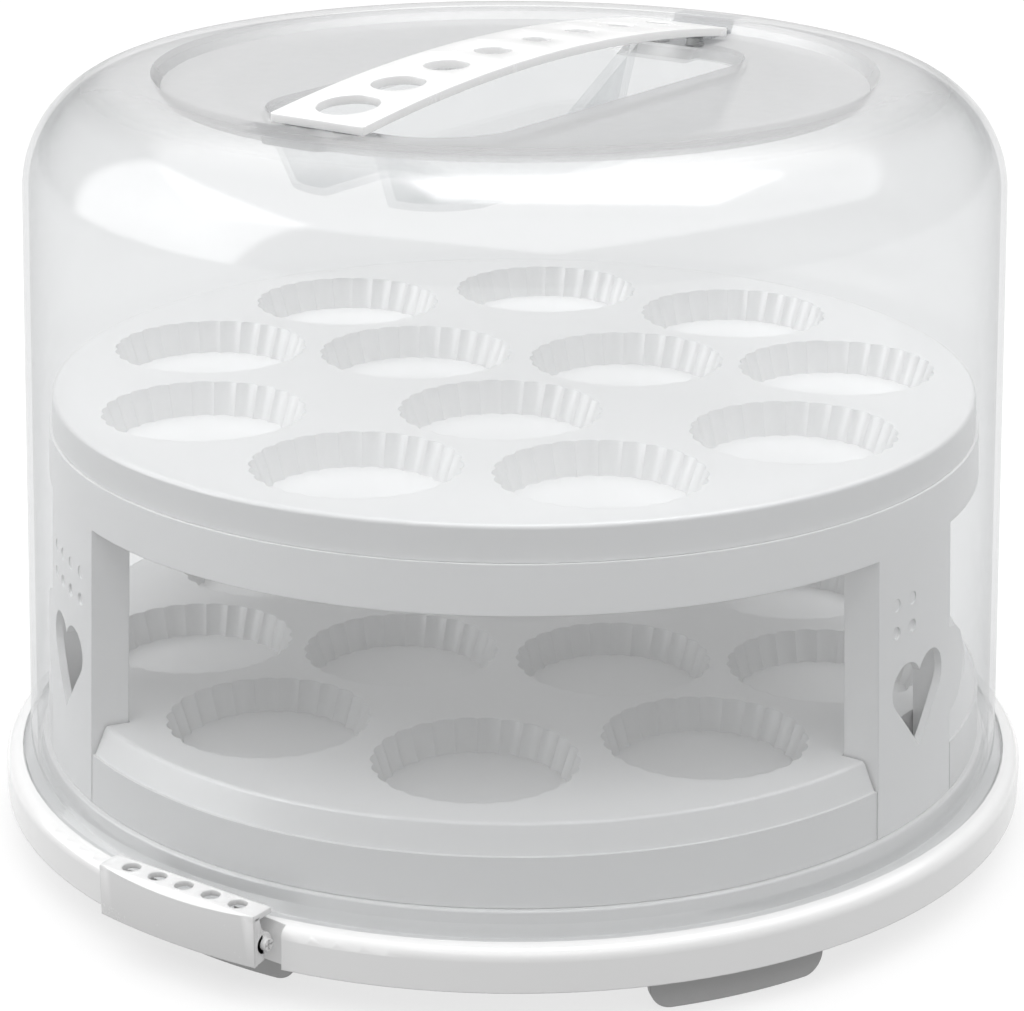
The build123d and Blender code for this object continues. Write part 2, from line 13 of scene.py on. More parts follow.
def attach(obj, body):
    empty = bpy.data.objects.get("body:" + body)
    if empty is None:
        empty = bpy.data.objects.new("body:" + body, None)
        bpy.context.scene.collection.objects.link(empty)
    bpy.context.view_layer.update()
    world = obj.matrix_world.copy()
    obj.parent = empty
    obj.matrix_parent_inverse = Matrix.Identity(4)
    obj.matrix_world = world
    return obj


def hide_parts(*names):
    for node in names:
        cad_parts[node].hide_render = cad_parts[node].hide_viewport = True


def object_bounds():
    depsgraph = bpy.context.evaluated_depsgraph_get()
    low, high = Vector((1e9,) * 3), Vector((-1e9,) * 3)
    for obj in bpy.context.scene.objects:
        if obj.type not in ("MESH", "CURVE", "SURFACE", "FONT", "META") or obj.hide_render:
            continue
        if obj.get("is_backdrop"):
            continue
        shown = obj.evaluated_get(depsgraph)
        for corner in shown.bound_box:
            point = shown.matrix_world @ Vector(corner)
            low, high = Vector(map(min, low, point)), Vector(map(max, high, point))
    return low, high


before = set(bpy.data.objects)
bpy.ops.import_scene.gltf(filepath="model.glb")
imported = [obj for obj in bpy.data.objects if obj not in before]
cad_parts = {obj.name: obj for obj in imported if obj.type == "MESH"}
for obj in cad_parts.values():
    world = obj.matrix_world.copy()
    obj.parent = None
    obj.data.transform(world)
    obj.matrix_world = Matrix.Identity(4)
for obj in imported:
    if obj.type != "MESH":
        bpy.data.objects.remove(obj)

LOG = logging.getLogger("cake_carrier")
MM = 0.001
SHARP = math.radians(35)
RIM = math.radians(60)
MERGE = 0.01 * MM


class Slot(Enum):
    """The record's material slots for the handle and the latch; the pieces built here take other
    materials.
    """

    HANDLE = "handle_white"
    LATCH = "latch_white"


class Wall(Enum):
    """What the dome's wall lets through: square on, at its edges, and in the strap's tabs."""

    OPEN = (0.935, 0.938, 0.940, 1.0)
    EDGE = (0.62, 0.63, 0.64, 1.0)
    TAB = (0.66, 0.67, 0.68, 1.0)


@dataclass
class Signal:
    """A shader socket that takes arithmetic, one Math node for each operation."""

    tree: bpy.types.NodeTree
    socket: bpy.types.NodeSocket

    def _math(self, operation: str, first: Any, second: Any) -> "Signal":
        """Add a Math node.

        Args:
            operation: The Math node's operation.
            first: Its first value or signal.
            second: Its second value or signal.

        Returns:
            The node's output.
        """
        return Shading(self.tree).node("Math", {"operation": operation}, {0: first, 1: second})

    def __add__(self, other: Any) -> "Signal":
        """Sum."""
        return self._math("ADD", self, other)

    def __radd__(self, other: Any) -> "Signal":
        """Reflected sum."""
        return self._math("ADD", other, self)

    def __sub__(self, other: Any) -> "Signal":
        """Difference."""
        return self._math("SUBTRACT", self, other)

    def __rsub__(self, other: Any) -> "Signal":
        """Reflected difference."""
        return self._math("SUBTRACT", other, self)

    def __mul__(self, other: Any) -> "Signal":
        """Product."""
        return self._math("MULTIPLY", self, other)

    def __rmul__(self, other: Any) -> "Signal":
        """Reflected product."""
        return self._math("MULTIPLY", other, self)

    def __truediv__(self, other: Any) -> "Signal":
        """Quotient."""
        return self._math("DIVIDE", self, other)

    def __pow__(self, other: Any) -> "Signal":
        """Power."""
        return self._math("POWER", self, other)

    def __gt__(self, other: Any) -> "Signal":
        """1 where this is greater."""
        return self._math("GREATER_THAN", self, other)

    def __lt__(self, other: Any) -> "Signal":
        """1 where this is less."""
        return self._math("LESS_THAN", self, other)

    def __abs__(self) -> "Signal":
        """Size without its sign."""
        return self._math("ABSOLUTE", self, 0.0)


@dataclass
class Shading:
    """Adds nodes to one shader tree."""

    tree: bpy.types.NodeTree

    def node(
        self,
        kind: str,
        settings: dict[str, Any] | None = None,
        inputs: dict[Any, Any] | None = None,
        output: Any = 0,
    ) -> Signal:
        """Add a node, with its settings before its sockets.

        Args:
            kind: The node's type, without the ShaderNode prefix.
            settings: Its properties.
            inputs: Values or signals by socket name or index.
            output: Name or index of the output that is returned.

        Returns:
            The chosen output.
        """
        made = self.tree.nodes.new(f"ShaderNode{kind}")
        for name, value in (settings or {}).items():
            setattr(made, name, value)
        for key, value in (inputs or {}).items():
            if isinstance(value, Signal):
                self.tree.links.new(value.socket, made.inputs[key])
            else:
                made.inputs[key].default_value = value
        return Signal(self.tree, made.outputs[output])

    def surface(self, shader: Signal) -> None:
        """Send a shader to the material's surface."""
        end = self.tree.nodes.new("ShaderNodeOutputMaterial")
        self.tree.links.new(shader.socket, end.inputs["Surface"])

    def place(self) -> Signal:
        """The point on the object, in metres."""
        return self.node("TexCoord", output="Object")

    def axes(self) -> tuple[Signal, Signal, Signal]:
        """The three coordinates of the point on the object, in metres."""
        point = self.place()
        return tuple(self.node("SeparateXYZ", {}, {0: point}, axis) for axis in ("X", "Y", "Z"))

    def noise(self, scale: float, detail: float = 3.0) -> Signal:
        """Even noise from 0 to 1 over the object.

        Args:
            scale: Features per metre.
            detail: Octaves.

        Returns:
            The noise.
        """
        inputs = {"Vector": self.place(), "Scale": scale, "Detail": detail, "Roughness": 0.55}
        return self.node("TexNoise", {"noise_dimensions": "3D"}, inputs, "Fac")

    def tint(self, mask: Signal, low: tuple, high: tuple) -> Signal:
        """A colour between two, by a mask.

        Args:
            mask: From 0 to 1.
            low: Colour at 0.
            high: Colour at 1.

        Returns:
            The colour.
        """
        settings = {"data_type": "RGBA", "blend_type": "MIX"}
        return self.node("Mix", settings, {"Factor": mask, 6: low, 7: high}, 2)

    def relief(
        self,
        height: Signal,
        distance: float,
        strength: float,
        normal: Signal | None = None,
    ) -> Signal:
        """A bumped normal.

        Args:
            height: The relief's height, 0 to 1.
            distance: Its full height in metres.
            strength: How much of it shows.
            normal: The normal that it is laid on.

        Returns:
            The normal.
        """
        inputs: dict[Any, Any] = {"Height": height, "Distance": distance, "Strength": strength}
        if normal is not None:
            inputs["Normal"] = normal
        return self.node("Bump", {}, inputs, "Normal")

    def soft_edges(self, radius: float) -> Signal:
        """Normals rounded over edges, as a mould's edges are."""
        return self.node("Bevel", {"samples": 6}, {"Radius": radius}, "Normal")


def new_material(name: str) -> tuple[bpy.types.Material, Shading]:
    """Make an empty node material.

    Args:
        name: The material's name.

    Returns:
        The material and its shading helper.
    """
    material = bpy.data.materials.new(name)
    material.use_nodes = True
    material.node_tree.nodes.clear()
    return material, Shading(material.node_tree)


def grey(level: float) -> tuple[float, float, float, float]:
    """A neutral colour."""
    return (level, level, level, 1.0)


@dataclass(frozen=True)
class MouldedPlastic:
    """Opaque moulded plastic with flow marks, fine grain and handling wear."""

    name: str
    # level is the white's brightness; the base, the latches and the stand set it away from the
    # trays' white as painted shade or painted light.
    level: float = 0.90
    spread: float = 0.012
    roughness: float = 0.32
    wear: float = 0.08
    coat: float = 0.25
    grain: float = 0.000008
    edge: float = 0.5 * MM
    flow_scale: float = 14.0
    grain_scale: float = 1500.0
    rub_scale: float = 90.0
    grain_strength: float = 0.35
    refraction: float = 1.49
    coat_roughness: float = 0.12

    def material(self) -> bpy.types.Material:
        """Build the finish.

        Returns:
            The material.
        """
        material, make = new_material(self.name)
        flow = make.noise(self.flow_scale, 2.0)
        fine = make.noise(self.grain_scale, 2.0)
        rubbed = make.noise(self.rub_scale, 4.0)
        low = grey(self.level - self.spread)
        high = grey(self.level + self.spread)
        rough = self.roughness + (rubbed - 0.5) * self.wear + (fine - 0.5) * (self.wear / 2)
        rounded = make.soft_edges(self.edge)
        normal = make.relief(fine, self.grain, self.grain_strength, rounded)
        shader = make.node("BsdfPrincipled", {}, {
            "Base Color": make.tint(flow, low, high),
            "Roughness": rough,
            "IOR": self.refraction,
            "Coat Weight": self.coat,
            "Coat Roughness": self.coat_roughness,
            "Normal": normal,
        })
        make.surface(shader)
        return material


@dataclass(frozen=True)
class ClearShell:
    """Clear plastic: open seen square on, grey and glossy at grazing angles, satin on top."""

    name: str
    roughness: float = 0.085
    satin: float = 0.45
    top_gloss: float = 0.46
    haze: float = 0.04
    disc_haze: float = 0.30
    recess_share: float = 0.25
    disc_radius: float = 0.1215
    disc_floor: float = 0.222
    crown: float = 0.2425
    summit: float = 0.2523
    lens_radius: float = 0.096
    tab_half_width: float = 0.0122
    tab_start: float = 0.0925
    tab_height: float = 0.2455
    ripple_scale: float = 22.0
    ripple_height: float = 0.4 * MM
    ripple_strength: float = 0.10
    rub_scale: float = 260.0
    rub_share: float = 0.05
    gloss_level: float = 0.80
    edge_power: float = 10.0
    crown_ease: float = 0.55
    cover_power: float = 7.0
    cover_limit: float = 0.86
    haze_spread: float = 0.2

    def material(self) -> bpy.types.Material:
        """Build the finish.

        Returns:
            The material.
        """
        material, make = new_material(self.name)
        ripple = make.noise(self.ripple_scale, 1.5)
        rubbed = make.noise(self.rub_scale, 5.0)
        normal = make.relief(ripple, self.ripple_height, self.ripple_strength)
        facing = make.node("LayerWeight", {}, {"Blend": 0.5, "Normal": normal}, "Facing")
        across, along, height = make.axes()
        radius = (across * across + along * along) ** 0.5
        inside = radius < self.disc_radius
        high = height > self.crown
        tab = (abs(across) < self.tab_half_width) * (abs(along) > self.tab_start)
        tab = tab * (height > self.tab_height) * inside
        crown = (radius > self.lens_radius) * high
        recess = inside * (height < self.crown) * (height > self.disc_floor)
        bared = 1.0 - recess * (1.0 - self.recess_share)
        inner = inside * high
        ramp = (height - self.crown) / (self.summit - self.crown) * high
        level = inner + (1.0 - inner) * ramp * ramp
        grazing = facing ** self.edge_power * (1.0 - crown * self.crown_ease) * bared
        clear = make.node("BsdfTransparent", {}, {"Color": Wall.OPEN.value})
        dark = make.node("BsdfTransparent", {}, {"Color": Wall.EDGE.value})
        wall = make.node("MixShader", {}, {0: grazing, 1: clear, 2: dark})
        shade = make.node("BsdfTransparent", {}, {"Color": Wall.TAB.value})
        wall = make.node("MixShader", {}, {0: tab, 1: wall, 2: shade})
        gloss = make.node("BsdfPrincipled", {}, {
            "Base Color": make.tint(level + tab, grey(self.gloss_level), grey(self.top_gloss)),
            "Metallic": 1.0,
            "Roughness": self.roughness + rubbed * self.rub_share + level * self.satin,
            "Normal": normal,
        })
        blotches = 1.0 - self.haze_spread / 2 + rubbed * self.haze_spread
        haze = self.haze + level * (self.disc_haze - self.haze) * blotches
        cover = (haze + facing ** self.cover_power * (self.cover_limit - haze)) * bared
        shader = make.node("MixShader", {}, {0: cover, 1: wall, 2: gloss})
        make.surface(shader)
        return material


@dataclass(frozen=True)
class SoftGrip:
    """Grey matt elastomer with a fine moulded texture and dust in its pores."""

    name: str
    level: float = 0.46
    darker: float = 0.03
    lighter: float = 0.04
    pore_scale: float = 2200.0
    pore_depth: float = 0.08 * MM
    pore_strength: float = 0.6
    pore_share: float = 0.3
    dust_scale: float = 60.0
    roughness: float = 0.58
    dust_roughness: float = 0.12
    edge: float = 0.8 * MM

    def material(self) -> bpy.types.Material:
        """Build the finish.

        Returns:
            The material.
        """
        material, make = new_material(self.name)
        pores = make.noise(self.pore_scale, 2.0)
        dusty = make.noise(self.dust_scale, 4.0)
        rounded = make.soft_edges(self.edge)
        normal = make.relief(pores, self.pore_depth, self.pore_strength, rounded)
        dust = dusty * (1 - self.pore_share) + pores * self.pore_share
        low, high = grey(self.level - self.darker), grey(self.level + self.lighter)
        shader = make.node("BsdfPrincipled", {}, {
            "Base Color": make.tint(dust, low, high),
            "Roughness": self.roughness + dusty * self.dust_roughness,
            "Normal": normal,
        })
        make.surface(shader)
        return material


def dress(node: str, material: bpy.types.Material) -> None:
    """Give a node of the frame its finish.

    Args:
        node: The node's name.
        material: Its finish.
    """
    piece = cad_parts[node]
    piece.data.materials.clear()
    piece.data.materials.append(material)
    LOG.info("dressed %s as %s", node, material.name)


class Reach(Flag):
    """What a softbox lights."""

    MATT = auto()
    GLOSS = auto()


@dataclass(frozen=True)
class Softbox:
    """One rectangular light, placed by its turn from the camera and aimed at the carrier's axis."""

    name: str
    turn: float
    out: float
    height: float
    size: tuple[float, float]
    watts: float
    reach: Reach
    aim: float = 0.16


@dataclass
class Studio:
    """Pale floor, soft lights and the camera."""

    floor_size: float = 60.0
    floor_level: float = 0.28
    floor_glow: float = 0.68
    room_light: float = 0.45
    azimuth: float = 35.1
    boxes: tuple[Softbox, ...] = (
        Softbox("overhead", 0.0, 0.0, 3.0, (7.0, 7.0), 258.0, Reach.MATT | Reach.GLOSS),
        Softbox("left_fill", -95.0, 1.6, 0.45, (1.4, 1.0), 3.5, Reach.MATT),
        Softbox("left_card", -88.0, 1.5, 0.80, (1.7, 1.3), 20.0, Reach.GLOSS),
        Softbox("left_card_middle", -88.0, 1.5, 0.80, (1.3, 0.95), 13.0, Reach.GLOSS),
        Softbox("left_card_core", -88.0, 1.5, 0.80, (0.9, 0.6), 8.0, Reach.GLOSS),
        Softbox("shoulder_card", 90.0, 0.26, 1.6, (0.7, 1.16), 17.0, Reach.GLOSS),
        Softbox("dome_down", 0.0, 0.0, 0.215, (0.26, 0.26), 0.046, Reach.MATT, 0.0),
        Softbox("tier_up", 0.0, 0.0, 0.064, (0.2, 0.2), 0.055, Reach.MATT, 1.0),
    )
    camera_at: tuple[float, float, float] = (0.53796, -0.76546, 0.42933)
    pitch: float = 19.202
    roll: float = 0.193
    lens: float = 103.55
    sensor: float = 36.0
    clip_end: float = 100.0
    shift: float = -0.0017
    clear_bounces: int = 32
    bounces: int = 16

    def build(self) -> None:
        """Make the floor, the lights and the camera."""
        self._floor()
        self._world()
        self._lights()
        self._camera()
        scene = bpy.context.scene
        scene.view_settings.view_transform = "Standard"
        scene.cycles.transparent_max_bounces = self.clear_bounces
        scene.cycles.max_bounces = self.bounces

    def _floor(self) -> None:
        """Add the plain pale floor."""
        bm = bmesh.new()
        bmesh.ops.create_grid(bm, x_segments=1, y_segments=1, size=self.floor_size / 2)
        mesh = bpy.data.meshes.new("studio_floor")
        bm.to_mesh(mesh)
        bm.free()
        floor = bpy.data.objects.new("studio_floor", mesh)
        bpy.context.scene.collection.objects.link(floor)
        floor.visible_diffuse = False
        material, make = new_material("studio_floor")
        lit = make.node("BsdfDiffuse", {}, {"Color": grey(self.floor_level)})
        glow = make.node("Emission", {}, {"Color": grey(1.0), "Strength": self.floor_glow})
        make.surface(make.node("AddShader", {}, {0: lit, 1: glow}))
        mesh.materials.append(material)
        floor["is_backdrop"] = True

    def _world(self) -> None:
        """Light the room evenly."""
        world = bpy.data.worlds.new("studio_room")
        bpy.context.scene.world = world
        world.use_nodes = True
        background = world.node_tree.nodes["Background"]
        background.inputs["Color"].default_value = grey(1.0)
        background.inputs["Strength"].default_value = self.room_light

    def _lights(self) -> None:
        """Add the softboxes."""
        for box in self.boxes:
            light = bpy.data.lights.new(f"softbox_{box.name}", "AREA")
            light.shape = "RECTANGLE"
            light.size, light.size_y = box.size
            light.energy = box.watts
            lamp = bpy.data.objects.new(light.name, light)
            angle = math.radians(self.azimuth + box.turn)
            lamp.location = (box.out * math.sin(angle), -box.out * math.cos(angle), box.height)
            aim = Vector((0, 0, box.aim)) - lamp.location
            lamp.rotation_euler = aim.to_track_quat("-Z", "Y").to_euler()
            lamp.visible_diffuse = Reach.MATT in box.reach
            lamp.visible_glossy = Reach.GLOSS in box.reach
            lamp.visible_camera = False
            bpy.context.scene.collection.objects.link(lamp)

    def _camera(self) -> None:
        """Add the camera."""
        data = bpy.data.cameras.new("studio_camera")
        data.lens = self.lens
        data.sensor_width = self.sensor
        data.shift_x = self.shift
        data.clip_end = self.clip_end
        camera = bpy.data.objects.new("studio_camera", data)
        bpy.context.scene.collection.objects.link(camera)
        place = Vector(self.camera_at)
        level = Vector((-place.x, -place.y, 0)).normalized()
        drop = math.radians(self.pitch)
        forward = level * math.cos(drop) - Vector((0, 0, math.sin(drop)))
        turn = forward.to_track_quat("-Z", "Y")
        camera.rotation_mode = "QUATERNION"
        camera.rotation_quaternion = turn @ Quaternion((0, 0, 1), math.radians(self.roll))
        camera.location = place
        bpy.context.scene.camera = camera


def finish_piece(
    bm: bmesh.types.BMesh,
    name: str,
    body: str,
    material: bpy.types.Material,
    stands_for: tuple[str, ...] = (),
) -> bpy.types.Object:
    """Turn a mesh into a smooth-shaded piece that rides on a body.

    Args:
        bm: The mesh, in place. It is freed.
        name: The piece's name.
        body: The body that it rides on.
        material: Its finish.
        stands_for: Nodes that it replaces.

    Returns:
        The piece.
    """
    mesh = bpy.data.meshes.new(name)
    bm.to_mesh(mesh)
    bm.free()
    mesh.materials.append(material)
    for polygon in mesh.polygons:
        polygon.use_smooth = True
    mesh.set_sharp_from_angle(angle=SHARP)
    piece = bpy.data.objects.new(name, mesh)
    bpy.context.scene.collection.objects.link(piece)
    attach(piece, body)
    if stands_for:
        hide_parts(*stands_for)
    LOG.info("built %s on %s, %d faces", name, body, len(mesh.polygons))
    return piece


def bevel_edges(
    bm: bmesh.types.BMesh,
    edges: list[bmesh.types.BMEdge],
    width: float,
    segments: int,
) -> None:
    """Round some edges.

    Args:
        bm: The mesh.
        edges: The edges.
        width: The bevel's offset in metres.
        segments: Its steps.
    """
    bmesh.ops.bevel(
        bm, geom=edges, offset=width, offset_type="OFFSET", affect="EDGES",
        segments=segments, profile=0.5, material=-1, clamp_overlap=True,
    )


def sharp_rims(bm: bmesh.types.BMesh, angle: float = RIM) -> list[bmesh.types.BMEdge]:
    """The edges at which two faces meet more sharply than an angle.

    Args:
        bm: The mesh.
        angle: The angle between the faces' normals.

    Returns:
        The edges.
    """
    return [edge for edge in bm.edges if edge.calc_face_angle(0.0) > angle]


def two_rings(
    bm: bmesh.types.BMesh,
    radius: float,
    sides: int,
    centre: tuple[float, float, float],
) -> tuple[list[bmesh.types.BMVert], list[bmesh.types.BMVert]]:
    """Add two equal rings of vertices, one for a hole and one for the outline round it.

    Args:
        bm: The mesh.
        radius: The hole's radius.
        sides: How many vertices each ring has.
        centre: The hole's middle.

    Returns:
        The hole's vertices and the outline's.
    """
    at = Matrix.Translation(centre)
    rings = [
        bmesh.ops.create_circle(bm, cap_ends=False, radius=radius, segments=sides, matrix=at)
        for _ in range(2)
    ]
    return rings[0]["verts"], rings[1]["verts"]


def bridge_rings(
    bm: bmesh.types.BMesh,
    hole: list[bmesh.types.BMVert],
    outline: list[bmesh.types.BMVert],
) -> None:
    """Fill the flat between a hole and the outline round it.

    Args:
        bm: The mesh.
        hole: The hole's vertices.
        outline: The outline's vertices.
    """
    loops = dict.fromkeys(
        edge for ring in (hole, outline) for vert in ring for edge in vert.link_edges)
    bmesh.ops.bridge_loops(bm, edges=list(loops))


def stretches(half: float, places: list[float]) -> list[float]:
    """Bounds of the stretches round a row of holes, each halfway between two holes."""
    between = [(first + second) / 2 for first, second in zip(places, places[1:])]
    return [-half, *between, half]


def thicken(bm: bmesh.types.BMesh, by: float) -> None:
    """Weld a flat sheet and give it a thickness along Z.

    Args:
        bm: The sheet's mesh.
        by: The thickness, downwards where it is negative.
    """
    bmesh.ops.remove_doubles(bm, verts=bm.verts, dist=MERGE)
    bmesh.ops.recalc_face_normals(bm, faces=bm.faces)
    grown = bmesh.ops.extrude_face_region(bm, geom=bm.faces[:])
    moved = [item for item in grown["geom"] if isinstance(item, bmesh.types.BMVert)]
    bmesh.ops.translate(bm, verts=moved, vec=(0, 0, by))
    bmesh.ops.recalc_face_normals(bm, faces=bm.faces)


@dataclass
class Strap:
    """Arched carrying strap with graded holes and its snap pegs."""

    half_length: float = 101.3 * MM
    width: float = 35.2 * MM
    thickness: float = 2.96 * MM
    rise: float = 7.4 * MM
    seat: float = 249.05 * MM
    holes: int = 8
    pitch: float = 24.6 * MM
    widest: float = 19.4 * MM
    narrowest: float = 9.6 * MM
    shrink: float = 2.5 * MM
    sides: int = 64
    rounding: float = 0.35 * MM
    peg_radius: float = 2.5 * MM
    peg_half_step: float = 7.0 * MM
    peg_inset: float = 3.6 * MM
    peg_length: float = 5.0 * MM
    peg_overlap: float = 1.2 * MM
    peg_flare: float = 1.3
    peg_sides: int = 24

    def arch(self, y: float) -> float:
        """Height of the underside above its seat at a distance along the strap."""
        return self.rise * (1 - (y / self.half_length) ** 2)

    def _cell(
        self,
        bm: bmesh.types.BMesh,
        centre: float,
        radius: float,
        low: float,
        high: float,
    ) -> None:
        """Add one flat stretch of the strap round a hole.

        Args:
            bm: The strap's mesh.
            centre: The hole's place along the strap.
            radius: The hole's radius.
            low: Where the stretch starts.
            high: Where it ends.
        """
        hole, outline = two_rings(bm, radius, self.sides, (0, centre, 0))
        for vert in outline:
            x, y = vert.co.x, vert.co.y - centre
            along = max(abs(x), abs(y))
            vert.co.x = x / along * self.width / 2
            vert.co.y = (high + low) / 2 + y / along * (high - low) / 2
        bridge_rings(bm, hole, outline)

    def build(self, material: bpy.types.Material) -> bpy.types.Object:
        """Build the strap.

        Args:
            material: Its finish.

        Returns:
            The strap.
        """
        bm = bmesh.new()
        places = [(index - (self.holes - 1) / 2) * self.pitch for index in range(self.holes)]
        bounds = stretches(self.half_length, places)
        for index, centre in enumerate(places):
            across = max(self.narrowest, self.widest - index * self.shrink)
            self._cell(bm, centre, across / 2, bounds[index], bounds[index + 1])
        thicken(bm, self.thickness)
        bevel_edges(bm, sharp_rims(bm), self.rounding, 3)
        for vert in bm.verts:
            vert.co.z += self.seat + self.arch(vert.co.y)
        self._add_pegs(bm)
        return finish_piece(bm, "strap_handle", "lid", material, ("carry_handle",))

    def _add_pegs(self, bm: bmesh.types.BMesh) -> None:
        """Add the snap pegs under both ends.

        Args:
            bm: The strap's mesh.
        """
        height = self.seat + self.peg_overlap - self.peg_length / 2
        for end in (-1, 1):
            for side in (-1, 1):
                y = end * (self.half_length - self.peg_inset)
                bmesh.ops.create_cone(
                    bm, cap_ends=True, segments=self.peg_sides,
                    radius1=self.peg_radius * self.peg_flare, radius2=self.peg_radius,
                    depth=self.peg_length,
                    matrix=Matrix.Translation((side * self.peg_half_step, y, height)))


@dataclass
class LatchCover:
    """One latch: holed top plate, bowed front with its crescent edge, and two eyed cheeks."""

    name: str
    turn: float
    half: float = 30.4 * MM
    inner: float = 166.95 * MM
    front: float = 175.2 * MM
    bow: float = 2.15 * MM
    top: float = 31.55 * MM
    bottom: float = 14.75 * MM
    crescent: float = 1.5 * MM
    plate: float = 2.0 * MM
    wall: float = 1.7 * MM
    cheek: float = 2.2 * MM
    pin_out: float = 170.5 * MM
    pin_height: float = 21.0 * MM
    eye: float = 3.5 * MM
    holes: int = 5
    step: float = 10.5 * MM
    hole: float = 2.9 * MM
    sides: int = 40
    stations: int = 24
    rounding: float = 0.3 * MM
    front_rounding: float = 0.25 * MM
    front_rim: float = math.radians(70)
    crescent_end: float = 0.15 * MM
    cheek_inset: float = 0.6 * MM
    cheek_top: float = 2.6 * MM
    cheek_waist: float = 4.2 * MM
    cheek_foot: float = 4.6 * MM
    cheek_rise: float = 0.8 * MM
    cheek_gap: float = 0.1 * MM

    def _cell(self, bm: bmesh.types.BMesh, centre: float, low: float, high: float) -> None:
        """Add the flat stretch of the top plate round one hole.

        Args:
            bm: The latch's mesh.
            centre: The hole's place along the latch.
            low: Where the stretch starts.
            high: Where it ends.
        """
        middle = -(self.inner + self.front) / 2
        hole, outline = two_rings(bm, self.hole, self.sides, (centre, middle, self.top))
        for vert in outline:
            x, y = vert.co.x - centre, vert.co.y - middle
            along = max(abs(x), abs(y))
            vert.co.x = (high + low) / 2 + x / along * (high - low) / 2
            vert.co.y = middle + y / along * (self.front - self.inner) / 2
        bridge_rings(bm, hole, outline)

    def _top(self, bm: bmesh.types.BMesh) -> None:
        """Add the holed top plate.

        Args:
            bm: The latch's mesh.
        """
        places = [(index - (self.holes - 1) / 2) * self.step for index in range(self.holes)]
        bounds = stretches(self.half, places)
        for index, centre in enumerate(places):
            self._cell(bm, centre, bounds[index], bounds[index + 1])
        thicken(bm, -self.plate)
        bevel_edges(bm, sharp_rims(bm), self.rounding, 2)

    def _front(self, bm: bmesh.types.BMesh) -> None:
        """Add the bowed front, whose sloping top edge is widest at its middle.

        Args:
            bm: The latch's mesh.
        """
        panel = bmesh.new()
        heights = (self.top, self.top - self.crescent, self.bottom)
        verts = [panel.verts.new((-self.half, -self.front, height)) for height in heights]
        edges = [panel.edges.new(pair) for pair in zip(verts, verts[1:])]
        bmesh.ops.spin(
            panel, geom=verts + edges, cent=(0, 0, 0), axis=(0, 0, 1), angle=0.0,
            dvec=(2 * self.half / self.stations, 0, 0), steps=self.stations, use_merge=False)
        for vert in panel.verts:
            share = 1 - (vert.co.x / self.half) ** 2
            if vert.co.z < self.top - self.crescent / 2:
                vert.co.y -= self.bow * share
            if abs(vert.co.z - self.top + self.crescent) < self.crescent / 2:
                vert.co.z = self.top - self.crescent * share - self.crescent_end
        bmesh.ops.recalc_face_normals(panel, faces=panel.faces)
        if sum(face.normal.y for face in panel.faces) > 0:
            bmesh.ops.reverse_faces(panel, faces=panel.faces)
        bmesh.ops.solidify(panel, geom=panel.faces[:], thickness=self.wall)
        bevel_edges(panel, sharp_rims(panel, self.front_rim), self.front_rounding, 2)
        self._join(bm, panel)

    def _cheeks(self, bm: bmesh.types.BMesh) -> None:
        """Add the two cheeks, each with the eye that turns on the pin.

        Args:
            bm: The latch's mesh.
        """
        for side in (-1, 1):
            start = side * self.half if side < 0 else self.half - self.cheek
            cheek = bmesh.new()
            outline = (
                (self.front - self.cheek_inset, self.top - self.plate / 2),
                (self.front - self.cheek_top, self.top - self.plate / 2),
                (self.front - self.cheek_waist, self.pin_height + self.eye),
                (self.front - self.cheek_foot, self.bottom + self.cheek_rise),
                (self.front - self.cheek_inset, self.bottom + self.cheek_gap),
            )
            face = cheek.faces.new([cheek.verts.new((start, -y, z)) for y, z in outline])
            grown = bmesh.ops.extrude_face_region(cheek, geom=[face])
            moved = [item for item in grown["geom"] if isinstance(item, bmesh.types.BMVert)]
            bmesh.ops.translate(cheek, verts=moved, vec=(self.cheek, 0, 0))
            turn = Matrix.Rotation(math.radians(90), 4, "Y")
            at = Matrix.Translation((start + self.cheek / 2, -self.pin_out, self.pin_height)) @ turn
            bmesh.ops.create_cone(
                cheek, cap_ends=True, segments=self.sides, radius1=self.eye, radius2=self.eye,
                depth=self.cheek, matrix=at)
            bmesh.ops.recalc_face_normals(cheek, faces=cheek.faces)
            bevel_edges(cheek, sharp_rims(cheek), self.rounding, 2)
            self._join(bm, cheek)

    @staticmethod
    def _join(bm: bmesh.types.BMesh, part: bmesh.types.BMesh) -> None:
        """Add one mesh to another.

        Args:
            bm: The mesh that grows.
            part: The mesh that is added, and freed.
        """
        held = bpy.data.meshes.new("latch_part")
        part.to_mesh(held)
        part.free()
        bm.from_mesh(held)
        bpy.data.meshes.remove(held)

    def build(self, material: bpy.types.Material) -> bpy.types.Object:
        """Build the latch.

        Args:
            material: Its finish.

        Returns:
            The latch.
        """
        bm = bmesh.new()
        self._top(bm)
        self._front(bm)
        self._cheeks(bm)
        turned = Matrix.Rotation(math.radians(self.turn), 3, "Z")
        bmesh.ops.rotate(bm, verts=bm.verts, cent=(0, 0, 0), matrix=turned)
        replaced = (f"latch_{self.name}",)
        return finish_piece(
            bm, f"{self.name}_cover", f"{self.name}_latch", material, replaced)


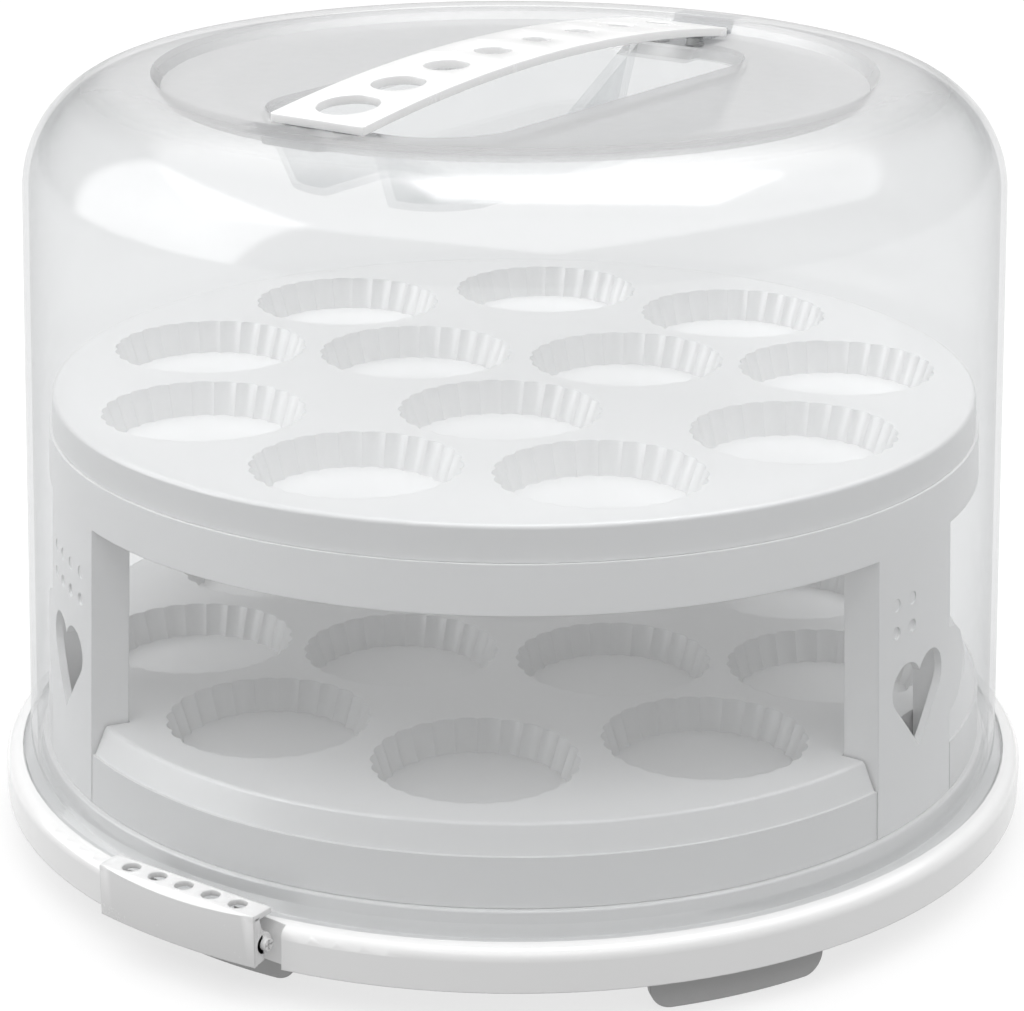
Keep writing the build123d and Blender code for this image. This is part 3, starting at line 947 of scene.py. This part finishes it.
@dataclass
class Base:
    """Round base, its feet and the latches that turn on its pins."""

    feet: int = 6
    # Painted shade: the base's white is set a little darker than the trays' white to stand in for
    # the shade on its rim.
    plastic: MouldedPlastic = MouldedPlastic("base_plastic_painted_shade", level=0.83, roughness=0.24, coat=0.4)
    grip: SoftGrip = SoftGrip("foot_elastomer")
    pins: MouldedPlastic = MouldedPlastic("pin_plastic", level=0.80, roughness=0.34)
    # Painted shade: the latches' white is set darker than the trays' white to stand in for the
    # shade on their fronts.
    latches: MouldedPlastic = MouldedPlastic("latch_plastic_painted_shade", level=0.76, roughness=0.26, coat=0.4)

    def build(self) -> None:
        """Dress the base, the feet and the pins, and build both latches."""
        dress("base_tray", self.plastic.material())
        grip = self.grip.material()
        for index in range(self.feet):
            dress(f"foot_{index + 1}", grip)
        pin = self.pins.material()
        latch = self.latches.material()
        for name, turn in (("front", 0.0), ("back", 180.0)):
            dress(f"latch_pin_{name}", pin)
            dress(f"latch_{name}", latch)
            LatchCover(name, turn).build(latch)


@dataclass
class Trays:
    """The two fluted muffin trays."""

    plastic: MouldedPlastic = MouldedPlastic("tray_plastic", level=0.88, roughness=0.36)

    def build(self) -> None:
        """Dress both trays."""
        material = self.plastic.material()
        for node in ("lower_tray", "upper_tray"):
            dress(node, material)


@dataclass
class Stand:
    """The three-legged stand between the trays."""

    # Painted light: the stand's white is set lighter than the trays' white to lift its legs out of
    # their shade.
    plastic: MouldedPlastic = MouldedPlastic("stand_plastic_painted_light", level=0.94, roughness=0.40)

    def build(self) -> None:
        """Dress the stand."""
        dress("leg_stand", self.plastic.material())


@dataclass
class Lid:
    """The clear dome and its carrying strap."""

    shell: ClearShell = ClearShell("dome_plastic")
    plastic: MouldedPlastic = MouldedPlastic("handle_plastic", level=0.86, roughness=0.26, coat=0.4)

    def build(self) -> None:
        """Dress the dome and build the strap."""
        dress("dome_lid", self.shell.material())
        strap = self.plastic.material()
        dress("carry_handle", strap)
        Strap().build(strap)


def corners(bounds: tuple[Vector, Vector]) -> list[list[float]]:
    """A box's two corners as plain lists."""
    return [list(corner) for corner in bounds]


def main(frame_box: list[list[float]]) -> None:
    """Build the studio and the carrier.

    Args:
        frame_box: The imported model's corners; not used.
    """
    logging.basicConfig(level=logging.INFO, format="%(name)s: %(message)s")
    for part in (Studio(), Base(), Trays(), Stand(), Lid()):
        part.build()
        LOG.info("finished %s", type(part).__name__)


if __name__ == "__main__":
    main(corners(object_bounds()))
